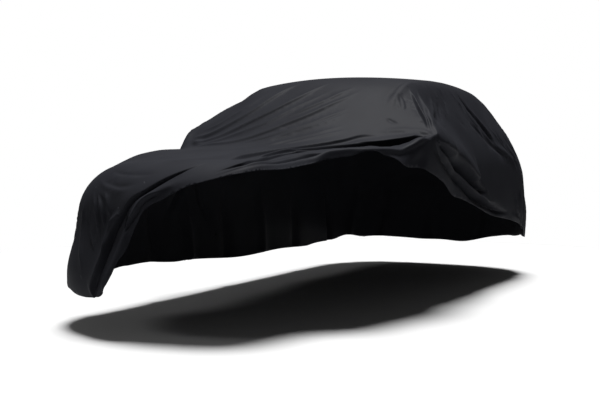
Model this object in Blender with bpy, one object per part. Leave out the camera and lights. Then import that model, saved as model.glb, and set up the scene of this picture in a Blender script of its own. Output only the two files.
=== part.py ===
"""A fitted cover of thin stretch cloth, drawn back over one front corner.

Ground frame while shaping: X to the drawn-back side, Y towards the tail, Z up from the floor.
Cloth coordinates (p, q) are the cover laid out flat: p across, q along. Inside the outline they are
the plan itself, and past it they run down the skirt. Metres throughout.
"""
import bmesh
import bpy
import numpy as np
from mathutils.geometry import delaunay_2d_cdt

# ---- driving sizes ----
THICKNESS = 0.0025         # cloth
HALF_WIDTH = 0.930         # outline at the flanks
NOSE_SPINE = 0.10          # Y where the nose end of the spine stops
NOSE_REACH = 0.910         # from there to the front of the nose
NOSE_POWER = 2.9           # squareness of the nose in plan
TAIL_SPINE = 2.70
TAIL_REACH = 0.92
TAIL_POWER = 3.1
ROOF_CROWN = 0.04          # drop from the middle of the roof to its rail
ROOF_HALF = 0.62           # half width at which the crown and the sweeps are measured
RAIL_SOFT = 0.09           # rounding between roof and side slope
WAIST_SOFT = 0.08          # rounding between side slope and deck
SWEEP_FRONT = 0.12         # how far the screen slope sweeps back at the rail
SWEEP_TAIL = 0.12
SWEEP_SPLIT = 1.8
HANG = (0.0, 1.75)         # the point under the roof that rests on what is covered
LATTICE = 0.042            # spacing of the cloth's points before thinning
SKIN_TRIANGLES = 5450      # of one face of the cloth, after thinning

# deck and shoulder: Y, middle height, height at the shoulder, rounding radius
DECK = [
    (-0.84, 0.860, 0.780, 0.30),
    (-0.62, 0.885, 0.820, 0.28),
    (-0.45, 0.935, 0.885, 0.26),
    (-0.20, 0.990, 0.965, 0.20),
    (0.10, 1.045, 1.035, 0.16),
    (0.40, 1.070, 1.060, 0.14),
    (0.80, 1.090, 1.060, 0.12),
    (1.60, 1.090, 1.010, 0.12),
    (2.40, 1.080, 0.970, 0.12),
    (3.00, 1.040, 0.930, 0.14),
    (3.35, 1.000, 0.900, 0.18),
    (3.60, 0.980, 0.880, 0.20),
]
DECK_EDGE = 0.76
DECK_POWER = 2.2

# rail, where the roof turns down: Y, half width, height of the side slope there, its fall a metre
RAIL = [
    (0.20, 0.620, 1.500, 1.66), (1.20, 0.620, 1.545, 1.66), (1.90, 0.620, 1.560, 1.66),
    (2.45, 0.615, 1.550, 1.66), (2.80, 0.605, 1.520, 1.60), (3.10, 0.580, 1.455, 1.50),
    (3.40, 0.550, 1.360, 1.40),
]

# middle line of the screen slope, roof and tail slope: Y, height
ROOF = [
    (0.20, 1.000), (0.38, 1.080), (0.55, 1.190), (0.70, 1.290), (0.85, 1.385), (1.00, 1.470),
    (1.12, 1.525), (1.27, 1.565), (1.50, 1.590), (1.75, 1.600), (2.10, 1.600), (2.40, 1.590),
    (2.75, 1.560), (2.95, 1.515), (3.10, 1.450), (3.25, 1.350), (3.40, 1.210), (3.62, 0.970),
]

# side peaks, where the cloth is stretched over what stands out: centre p, q and tip X, Y, Z
PEAKS = [
    ((-0.90, 0.90), (-0.965, 0.93, 1.185)),
    ((0.90, 0.84), (0.985, 0.84, 1.16)),
]
# how far the stretch reaches from a peak: bearing from straight out towards the tail, far, near
PEAK_REACH = [
    (0, 0.32, 0.50), (45, 0.35, 0.60), (90, 0.45, 0.55), (128, 0.52, 0.55), (150, 0.50, 0.50),
    (180, 0.40, 0.42), (225, 0.30, 0.36), (270, 0.32, 0.42), (315, 0.30, 0.46),
]
PEAK_LAND = 0.45           # part of the reach after which the stretch lands softly

# hem, once round from the foot of the nose over the drawn-back side: p, q, points a metre
HEM = [
    (-0.63, -1.365, 22), (-0.51, -1.345, 26), (-0.40, -1.290, 26), (-0.325, -1.220, 26),
    (-0.265, -1.160, 26), (-0.225, -1.090, 26), (-0.185, -1.030, 26), (-0.13, -0.970, 26),
    (-0.075, -0.930, 26), (0.00, -0.900, 26), (0.075, -0.870, 26), (0.16, -0.825, 26),
    (0.26, -0.780, 26), (0.35, -0.730, 26), (0.46, -0.635, 26), (0.55, -0.500, 26),
    (0.605, -0.360, 26), (0.635, -0.200, 26), (0.67, -0.060, 26), (0.72, 0.040, 26),
    (0.775, 0.120, 26), (0.83, 0.200, 26), (0.875, 0.280, 26), (0.91, 0.350, 26),
    (0.955, 0.430, 26), (1.01, 0.520, 26), (1.07, 0.630, 26), (1.12, 0.750, 24),
    (1.155, 0.900, 22), (1.175, 1.050, 22), (1.19, 1.220, 22), (1.205, 1.400, 22),
    (1.24, 1.580, 22), (1.285, 1.770, 20), (1.33, 1.960, 20), (1.36, 2.150, 18),
    (1.38, 2.360, 16), (1.395, 2.600, 14), (1.405, 2.820, 14), (1.395, 3.050, 16),
    (1.39, 3.220, 18), (1.41, 3.350, 18), (1.465, 3.430, 18), (1.455, 3.560, 14),
    (1.33, 3.720, 12), (1.16, 3.860, 10), (0.83, 4.110, 9), (0.42, 4.275, 9),
    (0.00, 4.305, 9), (-0.42, 4.270, 9), (-0.83, 4.125, 9), (-1.18, 3.870, 9),
    (-1.45, 3.550, 9), (-1.60, 3.150, 9), (-1.685, 2.700, 9), (-1.70, 2.200, 9),
    (-1.715, 1.700, 9), (-1.69, 1.150, 9), (-1.665, 0.600, 9), (-1.61, 0.100, 9),
    (-1.53, -0.320, 10), (-1.37, -0.700, 12), (-1.17, -1.000, 14), (-1.07, -1.110, 18),
    (-1.01, -1.180, 22), (-0.93, -1.245, 22), (-0.80, -1.315, 22),
]

# folds: half width, lift (down where negative), ease in, ease out, path through p, q
FOLDS = [
    # band gathered behind the hem over the nose: its crease, two rolls and the crease between them
    (0.020, -0.034, 0.03, 0.25, [(-0.69, -1.34), (-0.52, -1.24), (-0.41, -1.11), (-0.34, -1.01),
                                 (-0.26, -0.94), (-0.18, -0.88), (-0.07, -0.82), (0.05, -0.75),
                                 (0.12, -0.70), (0.19, -0.63)]),
    (0.036, 0.036, 0.03, 0.30, [(-0.65, -1.36), (-0.48, -1.27), (-0.37, -1.14), (-0.30, -1.045),
                                (-0.225, -0.975), (-0.145, -0.915), (-0.04, -0.86), (0.07, -0.795),
                                (0.16, -0.74), (0.27, -0.67)]),
    (0.018, -0.016, 0.10, 0.30, [(-0.58, -1.33), (-0.44, -1.25), (-0.335, -1.13), (-0.27, -1.05),
                                 (-0.19, -0.98), (-0.11, -0.925), (0.00, -0.88), (0.10, -0.83)]),
    (0.028, 0.024, 0.10, 0.30, [(-0.55, -1.35), (-0.42, -1.27), (-0.31, -1.16), (-0.24, -1.08),
                                (-0.17, -1.00), (-0.09, -0.94), (0.02, -0.885), (0.14, -0.83)]),
    # bunch that runs on from it over the deck to the near peak
    (0.035, 0.020, 0.30, 0.15, [(0.18, -0.55), (0.27, -0.28), (0.33, 0.05), (0.37, 0.30), (0.46, 0.48),
                                (0.60, 0.62), (0.78, 0.77)]),
    (0.022, -0.034, 0.20, 0.06, [(0.28, -0.71), (0.37, -0.60), (0.40, -0.30), (0.41, 0.05), (0.44, 0.27),
                                 (0.52, 0.42), (0.64, 0.53), (0.77, 0.68), (0.86, 0.79)]),
    (0.032, 0.034, 0.20, 0.06, [(0.36, -0.70), (0.45, -0.57), (0.47, -0.30), (0.48, 0.05), (0.51, 0.24),
                                (0.58, 0.38), (0.70, 0.48), (0.80, 0.55), (0.87, 0.65), (0.885, 0.78)]),
    (0.018, -0.022, 0.30, 0.25, [(0.43, -0.59), (0.51, -0.40), (0.535, -0.20), (0.55, 0.00), (0.59, 0.16),
                                 (0.66, 0.30), (0.76, 0.40)]),
    (0.028, 0.022, 0.30, 0.25, [(0.50, -0.58), (0.565, -0.42), (0.59, -0.20), (0.61, 0.00), (0.65, 0.14),
                                (0.72, 0.27), (0.81, 0.36)]),
    (0.035, -0.045, 0.30, 0.05, [(0.56, 0.49), (0.68, 0.58), (0.79, 0.69), (0.865, 0.79)]),
    # flap that hangs in below the near peak
    (0.060, -0.032, 0.25, 0.25, [(0.86, 0.45), (0.94, 0.56), (1.00, 0.70), (1.04, 0.86)]),
    # swag from that peak: valley, its far edge, two ridges and the trough between them
    (0.045, -0.055, 0.05, 0.25, [(0.93, 0.86), (0.94, 1.00), (0.965, 1.22), (1.00, 1.48), (1.07, 1.72),
                                 (1.14, 1.92)]),
    (0.045, 0.020, 0.05, 0.25, [(0.90, 0.90), (0.89, 1.08), (0.90, 1.26), (0.93, 1.48), (0.99, 1.70),
                                (1.05, 1.88)]),
    (0.028, 0.030, 0.05, 0.30, [(0.95, 0.84), (0.985, 0.97), (1.02, 1.23), (1.09, 1.57), (1.19, 1.90),
                                (1.25, 2.14)]),
    (0.020, -0.022, 0.05, 0.30, [(0.97, 0.85), (1.02, 0.98), (1.06, 1.22), (1.12, 1.52), (1.21, 1.85),
                                 (1.29, 2.14)]),
    (0.030, 0.028, 0.05, 0.30, [(0.99, 0.84), (1.05, 0.94), (1.10, 1.15), (1.155, 1.42), (1.245, 1.76),
                                (1.32, 2.14), (1.34, 2.56)]),
    (0.045, 0.014, 0.30, 0.40, [(1.16, 1.76), (1.22, 1.96), (1.26, 2.22), (1.27, 2.50)]),
    # fan from that peak up to the rail
    (0.026, 0.016, 0.05, 0.35, [(0.86, 0.85), (0.77, 0.99), (0.69, 1.12), (0.62, 1.27)]),
    (0.022, -0.012, 0.08, 0.35, [(0.865, 0.87), (0.785, 1.02), (0.71, 1.16), (0.645, 1.31)]),
    (0.026, 0.020, 0.05, 0.35, [(0.87, 0.88), (0.80, 1.04), (0.73, 1.20), (0.66, 1.37)]),
    (0.024, -0.014, 0.08, 0.35, [(0.875, 0.90), (0.81, 1.09), (0.74, 1.28), (0.67, 1.46)]),
    (0.030, 0.018, 0.05, 0.35, [(0.88, 0.91), (0.83, 1.13), (0.76, 1.36), (0.68, 1.56)]),
    (0.034, -0.010, 0.10, 0.35, [(0.885, 0.95), (0.85, 1.22), (0.79, 1.46), (0.70, 1.68)]),
    (0.040, 0.012, 0.10, 0.40, [(0.89, 1.00), (0.87, 1.28), (0.81, 1.56), (0.72, 1.80)]),
    # strain lines from the rail down to the tail corner
    (0.034, -0.018, 0.20, 0.25, [(0.62, 2.00), (0.70, 2.05), (0.78, 2.09), (0.84, 2.16), (0.89, 2.32),
                                 (0.95, 2.62), (0.98, 2.96)]),
    (0.036, 0.016, 0.20, 0.25, [(0.66, 2.12), (0.75, 2.17), (0.82, 2.26), (0.88, 2.47), (0.93, 2.78),
                                (0.96, 3.08)]),
    (0.030, -0.012, 0.25, 0.25, [(0.70, 2.36), (0.79, 2.46), (0.85, 2.60), (0.89, 2.82), (0.92, 3.06)]),
    # soft ridges that fan out over the screen slope from the far peak
    (0.050, 0.012, 0.08, 0.50, [(-0.82, 0.78), (-0.67, 0.80), (-0.54, 0.88), (-0.40, 0.98)]),
    (0.045, 0.014, 0.08, 0.50, [(-0.82, 0.75), (-0.58, 0.72), (-0.41, 0.76), (-0.22, 0.90), (-0.04, 1.06)]),
    (0.045, 0.013, 0.08, 0.50, [(-0.80, 0.72), (-0.49, 0.61), (-0.26, 0.63), (-0.04, 0.80), (0.14, 1.00)]),
    (0.045, 0.012, 0.08, 0.50, [(-0.77, 0.69), (-0.37, 0.53), (-0.12, 0.57), (0.12, 0.76), (0.32, 0.98)]),
    (0.040, 0.011, 0.10, 0.50, [(-0.66, 0.62), (-0.26, 0.48), (0.00, 0.53), (0.24, 0.70), (0.42, 0.90)]),
    # far corner of the nose
    (0.040, 0.016, 0.30, 0.40, [(-0.56, -0.70), (-0.51, -0.86), (-0.50, -1.04)]),
    (0.034, -0.014, 0.30, 0.40, [(-0.60, -0.74), (-0.57, -0.92), (-0.56, -1.12), (-0.62, -1.30)]),
    (0.040, 0.016, 0.30, 0.40, [(-0.63, -0.72), (-0.66, -0.90), (-0.63, -1.06), (-0.62, -1.22)]),
    (0.050, 0.018, 0.30, 0.30, [(-0.74, -0.70), (-0.83, -0.88), (-0.82, -1.10), (-0.78, -1.28)]),
    (0.040, -0.014, 0.30, 0.30, [(-0.72, -0.84), (-0.74, -1.06), (-0.70, -1.30)]),
    (0.050, 0.010, 0.40, 0.40, [(-0.47, -0.74), (-0.31, -0.80), (-0.18, -0.80)]),
    # skirt of the side and end that are out of view
    (0.080, 0.020, 0.50, 0.05, [(-1.05, -0.30), (-1.30, -0.42), (-1.54, -0.52)]),
    (0.090, 0.022, 0.50, 0.05, [(-1.12, 0.36), (-1.40, 0.40), (-1.66, 0.42)]),
    (0.080, -0.016, 0.50, 0.05, [(-1.10, 0.75), (-1.38, 0.82), (-1.68, 0.86)]),
    (0.100, 0.020, 0.50, 0.05, [(-1.12, 1.30), (-1.40, 1.34), (-1.70, 1.36)]),
    (0.090, -0.014, 0.50, 0.05, [(-1.10, 1.86), (-1.40, 1.90), (-1.71, 1.92)]),
    (0.090, 0.018, 0.50, 0.05, [(-1.12, 2.42), (-1.40, 2.46), (-1.70, 2.46)]),
    (0.080, 0.022, 0.50, 0.05, [(-1.02, 3.08), (-1.26, 3.22), (-1.60, 3.40)]),
    (0.080, -0.016, 0.50, 0.05, [(-0.86, 3.46), (-1.06, 3.64), (-1.36, 3.74)]),
    (0.080, 0.020, 0.50, 0.05, [(-0.60, 3.62), (-0.76, 3.86), (-0.94, 4.06)]),
    (0.090, 0.016, 0.50, 0.05, [(-0.14, 3.70), (-0.18, 3.98), (-0.20, 4.29)]),
    (0.080, 0.018, 0.50, 0.05, [(0.46, 3.66), (0.52, 3.92), (0.58, 4.21)]),
    (0.060, 0.018, 0.40, 0.05, [(1.00, 3.34), (1.16, 3.46), (1.45, 3.56)]),
    (0.050, -0.014, 0.40, 0.10, [(1.00, 3.10), (1.18, 3.20), (1.40, 3.28)]),
]
SWELL = 0.015              # how far the skirt of the flanks swells
FLARE = 0.070              # how far the nose's skirt stands out low down
TUCK = 0.050               # how far its foot is drawn in


def ramp(x):
    x = np.clip(x, 0.0, 1.0)
    return x * x * (3.0 - 2.0 * x)


def curve(x, xs, ys):
    """Monotone cubic through the rows of a table."""
    xs = np.asarray(xs, float)
    ys = np.asarray(ys, float)
    step = np.diff(xs)
    rise = np.diff(ys) / step
    slope = np.zeros_like(ys)
    slope[0] = rise[0]
    slope[-1] = rise[-1]
    for i in range(1, len(xs) - 1):
        if rise[i - 1] * rise[i] > 0.0:
            a = 2.0 * step[i] + step[i - 1]
            b = step[i] + 2.0 * step[i - 1]
            slope[i] = (a + b) / (a / rise[i - 1] + b / rise[i])
    x = np.clip(x, xs[0], xs[-1])
    i = np.clip(np.searchsorted(xs, x) - 1, 0, len(step) - 1)
    t = (x - xs[i]) / step[i]
    keep = (1.0 + 2.0 * t) * (1.0 - t) ** 2 * ys[i] + t * t * (3.0 - 2.0 * t) * ys[i + 1]
    bend = t * (1.0 - t) ** 2 * step[i] * slope[i] + t * t * (t - 1.0) * step[i] * slope[i + 1]
    return keep + bend


def column(table, k):
    return [row[k] for row in table]


def soft_min(a, b, k):
    h = np.clip(0.5 + 0.5 * (b - a) / k, 0.0, 1.0)
    return b * (1.0 - h) + a * h - k * h * (1.0 - h)


def soft_max(a, b, k):
    return -soft_min(-a, -b, k)


def top_height(x, y):
    """Height of the deck, screen slope, roof and tail slope over the plan."""
    out = np.abs(x)
    middle = curve(y, column(DECK, 0), column(DECK, 1))
    edge = curve(y, column(DECK, 0), column(DECK, 2))
    deck = middle + (edge - middle) * (out / DECK_EDGE) ** DECK_POWER
    wide = (out / ROOF_HALF) ** 2
    front = np.minimum(y - SWEEP_FRONT * wide, SWEEP_SPLIT)
    back = np.maximum(y + SWEEP_TAIL * wide, SWEEP_SPLIT)
    along = np.where(y < SWEEP_SPLIT, front, back)
    roof = curve(along, column(ROOF, 0), column(ROOF, 1)) - ROOF_CROWN * wide
    half, height, fall = (curve(y, column(RAIL, 0), column(RAIL, k)) for k in (1, 2, 3))
    side = height - fall * (out - half)
    return soft_max(deck, soft_min(roof, side, RAIL_SOFT), WAIST_SOFT)


def smooth_form(p, q):
    """The cover's form without peaks and folds."""
    spine = np.clip(q, NOSE_SPINE, TAIL_SPINE)
    reach = np.hypot(p, q - spine) + 1e-12
    ux = p / reach
    uy = (q - spine) / reach
    nose = q < spine
    length = np.where(nose, NOSE_REACH, TAIL_REACH)
    power = np.where(nose, NOSE_POWER, TAIL_POWER)
    outline = (np.abs(ux / HALF_WIDTH) ** power + np.abs(uy / length) ** power + 1e-12) ** (-1.0 / power)
    station = spine + uy * outline
    radius = curve(station, column(DECK, 0), column(DECK, 3))
    inner = outline - radius
    past = np.maximum(reach - inner, 0.0)
    turn = np.clip(past / radius, 0.0, np.pi / 2.0)
    down = np.maximum(past - radius * np.pi / 2.0, 0.0)
    plan = np.minimum(reach, inner) + radius * np.sin(turn)
    z = top_height(ux * plan, spine + uy * plan) - radius * (1.0 - np.cos(turn)) - down
    at_nose = ramp((NOSE_SPINE - station) / 0.6)
    swell = (1.0 - at_nose) * SWELL * np.sin(np.pi * np.clip(down / 0.5, 0.0, 1.0))
    flare = at_nose * (FLARE * ramp(down / 0.35) - TUCK * ramp((down - 0.40) / 0.15))
    plan = plan + swell + flare
    return np.stack([ux * plan, spine + uy * plan, z], -1)


def stretch(points, p, q, centre, tip):
    """Pulls the cloth out to a peak in straight lines."""
    side = np.sign(centre[0])
    dp = (p - centre[0]) * side
    dq = q - centre[1]
    away = np.hypot(dp, dq) + 1e-9
    bearing = np.degrees(np.arctan2(dq, dp)) % 360.0
    rows = PEAK_REACH + [(360, *PEAK_REACH[0][1:])]
    reach = np.interp(bearing, column(rows, 0), column(rows, 1 if side < 0 else 2))
    landing = smooth_form(centre[0] + side * dp / away * reach, centre[1] + dq / away * reach)
    part = np.clip(away / reach, 0.0, 1.0)[..., None]
    line = np.array(tip) + (landing - np.array(tip)) * part
    weight = 1.0 - ramp((part - PEAK_LAND) / (1.0 - PEAK_LAND))
    return points + (line - points) * weight


def form(p, q):
    points = smooth_form(p, q)
    for centre, tip in PEAKS:
        points = stretch(points, p, q, centre, tip)
    return points


def path_points(rows, closed, each):
    """A smooth path through control rows, `each` steps between two rows."""
    rows = np.asarray(rows, float)
    count = len(rows)
    spans = count if closed else count - 1
    out = []
    for i in range(spans):
        if closed:
            a, b, c, d = (rows[(i + k) % count] for k in (-1, 0, 1, 2))
        else:
            a = rows[max(i - 1, 0)]
            b = rows[i]
            c = rows[i + 1]
            d = rows[min(i + 2, count - 1)]
        for k in range(each):
            t = k / each
            out.append(0.5 * (2 * b + (c - a) * t + (2 * a - 5 * b + 4 * c - d) * t * t
                              + (3 * b - a - 3 * c + d) * t ** 3))
    if not closed:
        out.append(rows[-1])
    return np.array(out)


def near_path(p, q, path):
    """Distance to a path and the part of its length at the nearest point."""
    best = np.full(p.shape, 1e9)
    part = np.zeros(p.shape)
    span = np.hypot(*(path[1:] - path[:-1]).T)
    start = np.concatenate([[0.0], np.cumsum(span)])
    for i in range(len(span)):
        a = path[i]
        d = path[i + 1] - a
        t = np.clip(((p - a[0]) * d[0] + (q - a[1]) * d[1]) / (span[i] ** 2 + 1e-12), 0.0, 1.0)
        gap = np.hypot(p - a[0] - t * d[0], q - a[1] - t * d[1])
        closer = gap < best
        best = np.where(closer, gap, best)
        part = np.where(closer, (start[i] + t * span[i]) / start[-1], part)
    return best, part


def ends(part, ease_in, ease_out):
    return ramp(part / ease_in) * ramp((1.0 - part) / ease_out)


def lift(p, q):
    """How far the folds stand off the form."""
    total = np.zeros(p.shape)
    for width, height, ease_in, ease_out, rows in FOLDS:
        gap, part = near_path(p, q, path_points(rows, False, 4))
        total += height * np.exp(-(gap / width) ** 2) * ends(part, ease_in, ease_out)
    return total


def surface(p, q):
    step = 0.004
    points = form(p, q)
    across = form(p + step, q) - form(p - step, q)
    along = form(p, q + step) - form(p, q - step)
    normal = np.cross(across, along)
    normal /= np.linalg.norm(normal, axis=-1, keepdims=True) + 1e-12
    return points + normal * lift(p, q)[..., None]


def hem_loop():
    rows = [row[:2] for row in HEM]
    fine = path_points(rows, True, 24)
    rate = np.repeat(column(HEM, 2), 24)
    ahead = np.roll(fine, -1, axis=0)
    run = np.cumsum(np.hypot(*(ahead - fine).T) * rate)
    keep = np.unique(np.searchsorted(run, np.arange(0.0, run[-1] - 0.5, 1.0)))
    return fine[keep]


def inside(points, loop):
    x = points[:, 0]
    y = points[:, 1]
    hit = np.zeros(len(points), bool)
    for a, b in zip(loop, np.roll(loop, -1, axis=0)):
        crosses = (a[1] > y) != (b[1] > y)
        if a[1] != b[1]:
            hit ^= crosses & (x < (b[0] - a[0]) * (y - a[1]) / (b[1] - a[1]) + a[0])
    return hit


def lattice(loop):
    """Points in rows inside the hem, clear of it."""
    low = loop.min(axis=0)
    high = loop.max(axis=0)
    rise = LATTICE * np.sqrt(0.75)
    rows = np.arange(low[1], high[1], rise)
    out = []
    for k, y in enumerate(rows):
        xs = np.arange(low[0] + (k % 2) * LATTICE / 2.0, high[0], LATTICE)
        out.append(np.stack([xs, np.full_like(xs, y)], -1))
    points = np.concatenate(out)
    points = points[inside(points, loop)]
    gap, part = near_path(points[:, 0], points[:, 1], np.vstack([loop, loop[:1]]))
    return points[gap > 0.6 * LATTICE]


def build_cover():
    loop = hem_loop()
    inner = lattice(loop)
    flat = [tuple(v) for v in np.vstack([loop, inner])]
    edges = [(i, (i + 1) % len(loop)) for i in range(len(loop))]
    verts, _, faces, _, _, _ = delaunay_2d_cdt(flat, edges, [], 1, 1e-7)
    layout = np.array([(v[0], v[1]) for v in verts])
    points = surface(layout[:, 0], layout[:, 1])
    bottom = form(np.array([HANG[0]]), np.array([HANG[1]]))[0]
    points -= np.array([HANG[0], HANG[1], bottom[2] - THICKNESS])
    mesh = bpy.data.meshes.new("cover")
    mesh.from_pydata([tuple(v) for v in points], [], [tuple(f) for f in faces])
    bm = bmesh.new()
    bm.from_mesh(mesh)
    loose = [v for v in bm.verts if not v.link_faces]
    bmesh.ops.delete(bm, geom=loose, context="VERTS")
    bmesh.ops.triangulate(bm, faces=bm.faces[:])
    count = len(bm.faces)
    bm.to_mesh(mesh)
    bm.free()
    cover = bpy.data.objects.new("cover", mesh)
    bpy.context.scene.collection.objects.link(cover)
    thin = cover.modifiers.new("thin", "DECIMATE")
    thin.ratio = SKIN_TRIANGLES / count
    solid = cover.modifiers.new("cloth", "SOLIDIFY")
    solid.thickness = THICKNESS
    solid.offset = -1.0
    solid.use_even_offset = False
    return cover


def cloth_material():
    material = bpy.data.materials.new("cloth")
    material.use_nodes = True
    shader = material.node_tree.nodes["Principled BSDF"]
    shader.inputs["Base Color"].default_value = (0.018, 0.018, 0.021, 1.0)
    shader.inputs["Roughness"].default_value = 0.62
    return material


for old in list(bpy.data.objects):
    bpy.data.objects.remove(old, do_unlink=True)

cover = build_cover()
cover.data.materials.append(cloth_material())
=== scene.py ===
"""Looks of a fitted cover of thin black stretch cloth, drawn back over one front corner.

The sheet takes its form from the part's own driving sizes and adds its finer folds and creases.
While shaping, X runs to the drawn-back side, Y towards the tail and Z up from the floor. Cloth
coordinates (p, q) are the cover laid out flat: p across, q along. Inside the outline they are the
plan itself, and past it they run down the skirt. Metres throughout.
"""
import math

import bmesh
import bpy
import numpy as np
from mathutils import Matrix, Vector


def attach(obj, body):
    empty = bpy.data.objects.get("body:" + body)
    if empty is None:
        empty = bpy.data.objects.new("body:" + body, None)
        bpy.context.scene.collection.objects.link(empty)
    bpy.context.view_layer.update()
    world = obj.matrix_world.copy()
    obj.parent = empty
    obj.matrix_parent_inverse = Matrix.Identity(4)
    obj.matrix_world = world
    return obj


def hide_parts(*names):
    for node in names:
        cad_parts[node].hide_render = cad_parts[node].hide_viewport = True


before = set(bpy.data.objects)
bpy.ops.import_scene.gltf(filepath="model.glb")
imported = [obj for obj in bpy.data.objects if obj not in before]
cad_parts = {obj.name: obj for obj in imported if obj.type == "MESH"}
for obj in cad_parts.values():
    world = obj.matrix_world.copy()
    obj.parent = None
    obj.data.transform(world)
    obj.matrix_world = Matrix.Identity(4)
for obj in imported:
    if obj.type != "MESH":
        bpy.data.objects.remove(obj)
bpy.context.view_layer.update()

# ---- driving sizes, as in the part ----
THICKNESS = 0.0025         # cloth
HALF_WIDTH = 0.930         # outline at the flanks
NOSE_SPINE = 0.10          # Y where the nose end of the spine stops
NOSE_REACH = 0.910         # from there to the front of the nose
NOSE_POWER = 2.9           # squareness of the nose in plan
TAIL_SPINE = 2.70          # Y where the tail end of the spine stops
TAIL_REACH = 0.92          # from there to the end of the tail
TAIL_POWER = 3.1           # squareness of the tail in plan
DECK_EDGE = 0.76           # half width at which the height at the shoulder is measured
DECK_POWER = 2.2           # how late the deck falls away on its way there
ROOF_CROWN = 0.04          # drop from the middle of the roof to its rail
ROOF_HALF = 0.62           # half width at which the crown and the sweeps are measured
RAIL_SOFT = 0.09           # rounding between roof and side slope
WAIST_SOFT = 0.08          # rounding between side slope and deck
SWEEP_FRONT = 0.12         # how far the screen slope sweeps back at the rail
SWEEP_TAIL = 0.12          # how far the tail slope sweeps forward there
SWEEP_SPLIT = 1.8          # Y where the one sweep gives way to the other
SWELL = 0.015              # how far the skirt of the flanks swells
SWELL_DEPTH = 0.50         # length of skirt in which it does
FLARE = 0.070              # how far the nose's skirt stands out low down
FLARE_DEPTH = 0.35         # length of skirt in which it comes out
TUCK = 0.050               # how far its foot is drawn in
TUCK_START = 0.40          # how far down the skirt that starts
TUCK_DEPTH = 0.15          # length of skirt in which it is drawn in
NOSE_BLEND = 0.60          # length in which the skirt of the flanks turns into the nose's
PEAK_LAND = 0.45           # part of the reach after which a peak's stretch lands softly
HANG = (0.0, 1.75)         # the point under the roof that rests on what is covered
FLOOR = -1.5975            # height of the floor, from that point

# deck and shoulder: Y, middle height, height at the shoulder, rounding radius
DECK = [
    (-0.84, 0.860, 0.780, 0.30),
    (-0.62, 0.885, 0.820, 0.28),
    (-0.45, 0.935, 0.885, 0.26),
    (-0.20, 0.990, 0.965, 0.20),
    (0.10, 1.045, 1.035, 0.16),
    (0.40, 1.070, 1.060, 0.14),
    (0.80, 1.090, 1.060, 0.12),
    (1.60, 1.090, 1.010, 0.12),
    (2.40, 1.080, 0.970, 0.12),
    (3.00, 1.040, 0.930, 0.14),
    (3.35, 1.000, 0.900, 0.18),
    (3.60, 0.980, 0.880, 0.20),
]

# rail, where the roof turns down: Y, half width, height of the side slope there, its fall a metre
RAIL = [
    (0.20, 0.620, 1.500, 1.66), (1.20, 0.620, 1.545, 1.66), (1.90, 0.620, 1.560, 1.66),
    (2.45, 0.615, 1.550, 1.66), (2.80, 0.605, 1.520, 1.60), (3.10, 0.580, 1.455, 1.50),
    (3.40, 0.550, 1.360, 1.40),
]

# middle line of the screen slope, roof and tail slope: Y, height
ROOF = [
    (0.20, 1.000), (0.38, 1.080), (0.55, 1.190), (0.70, 1.290), (0.85, 1.385), (1.00, 1.470),
    (1.12, 1.525), (1.27, 1.565), (1.50, 1.590), (1.75, 1.600), (2.10, 1.600), (2.40, 1.590),
    (2.75, 1.560), (2.95, 1.515), (3.10, 1.450), (3.25, 1.350), (3.40, 1.210), (3.62, 0.970),
]

# side peaks, where the cloth is stretched over what stands out: centre p, q and tip X, Y, Z
PEAKS = [
    ((-0.90, 0.90), (-0.965, 0.93, 1.185)),
    ((0.90, 0.84), (0.985, 0.84, 1.16)),
]
# how far the stretch reaches from a peak: bearing from straight out towards the tail, far, near
PEAK_REACH = [
    (0, 0.32, 0.50), (45, 0.35, 0.60), (90, 0.45, 0.55), (128, 0.52, 0.55), (150, 0.50, 0.50),
    (180, 0.40, 0.42), (225, 0.30, 0.36), (270, 0.32, 0.42), (315, 0.30, 0.46),
]

# hem, once round from the foot of the nose over the drawn-back side: p, q; over the deck and at the
# near tail corner it runs a few centimetres inside the part's, closer to the photograph
HEM = [
    (-0.63, -1.365), (-0.51, -1.345), (-0.40, -1.290), (-0.325, -1.220), (-0.265, -1.160),
    (-0.225, -1.090), (-0.185, -1.030), (-0.13, -0.970), (-0.075, -0.930), (0.00, -0.900),
    (0.075, -0.860), (0.16, -0.810), (0.26, -0.765), (0.35, -0.710), (0.440, -0.625),
    (0.505, -0.500), (0.54, -0.360), (0.56, -0.200), (0.60, -0.065), (0.66, 0.025),
    (0.735, 0.090), (0.805, 0.160), (0.855, 0.245), (0.895, 0.330), (0.94, 0.430),
    (0.985, 0.520), (1.035, 0.630), (1.085, 0.750), (1.125, 0.900), (1.15, 1.050),
    (1.175, 1.220), (1.20, 1.400), (1.24, 1.580), (1.285, 1.770), (1.33, 1.960),
    (1.36, 2.150), (1.38, 2.360), (1.395, 2.600), (1.405, 2.820), (1.395, 3.050),
    (1.38, 3.220), (1.375, 3.330), (1.390, 3.430), (1.365, 3.560), (1.27, 3.690),
    (1.13, 3.830), (0.83, 4.080), (0.42, 4.275), (0.00, 4.305), (-0.42, 4.270),
    (-0.83, 4.125), (-1.18, 3.870), (-1.45, 3.550), (-1.60, 3.150), (-1.685, 2.700),
    (-1.70, 2.200), (-1.715, 1.700), (-1.69, 1.150), (-1.665, 0.600), (-1.61, 0.100),
    (-1.53, -0.320), (-1.37, -0.700), (-1.17, -1.000), (-1.07, -1.110), (-1.01, -1.180),
    (-0.93, -1.245), (-0.80, -1.315),
]

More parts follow.
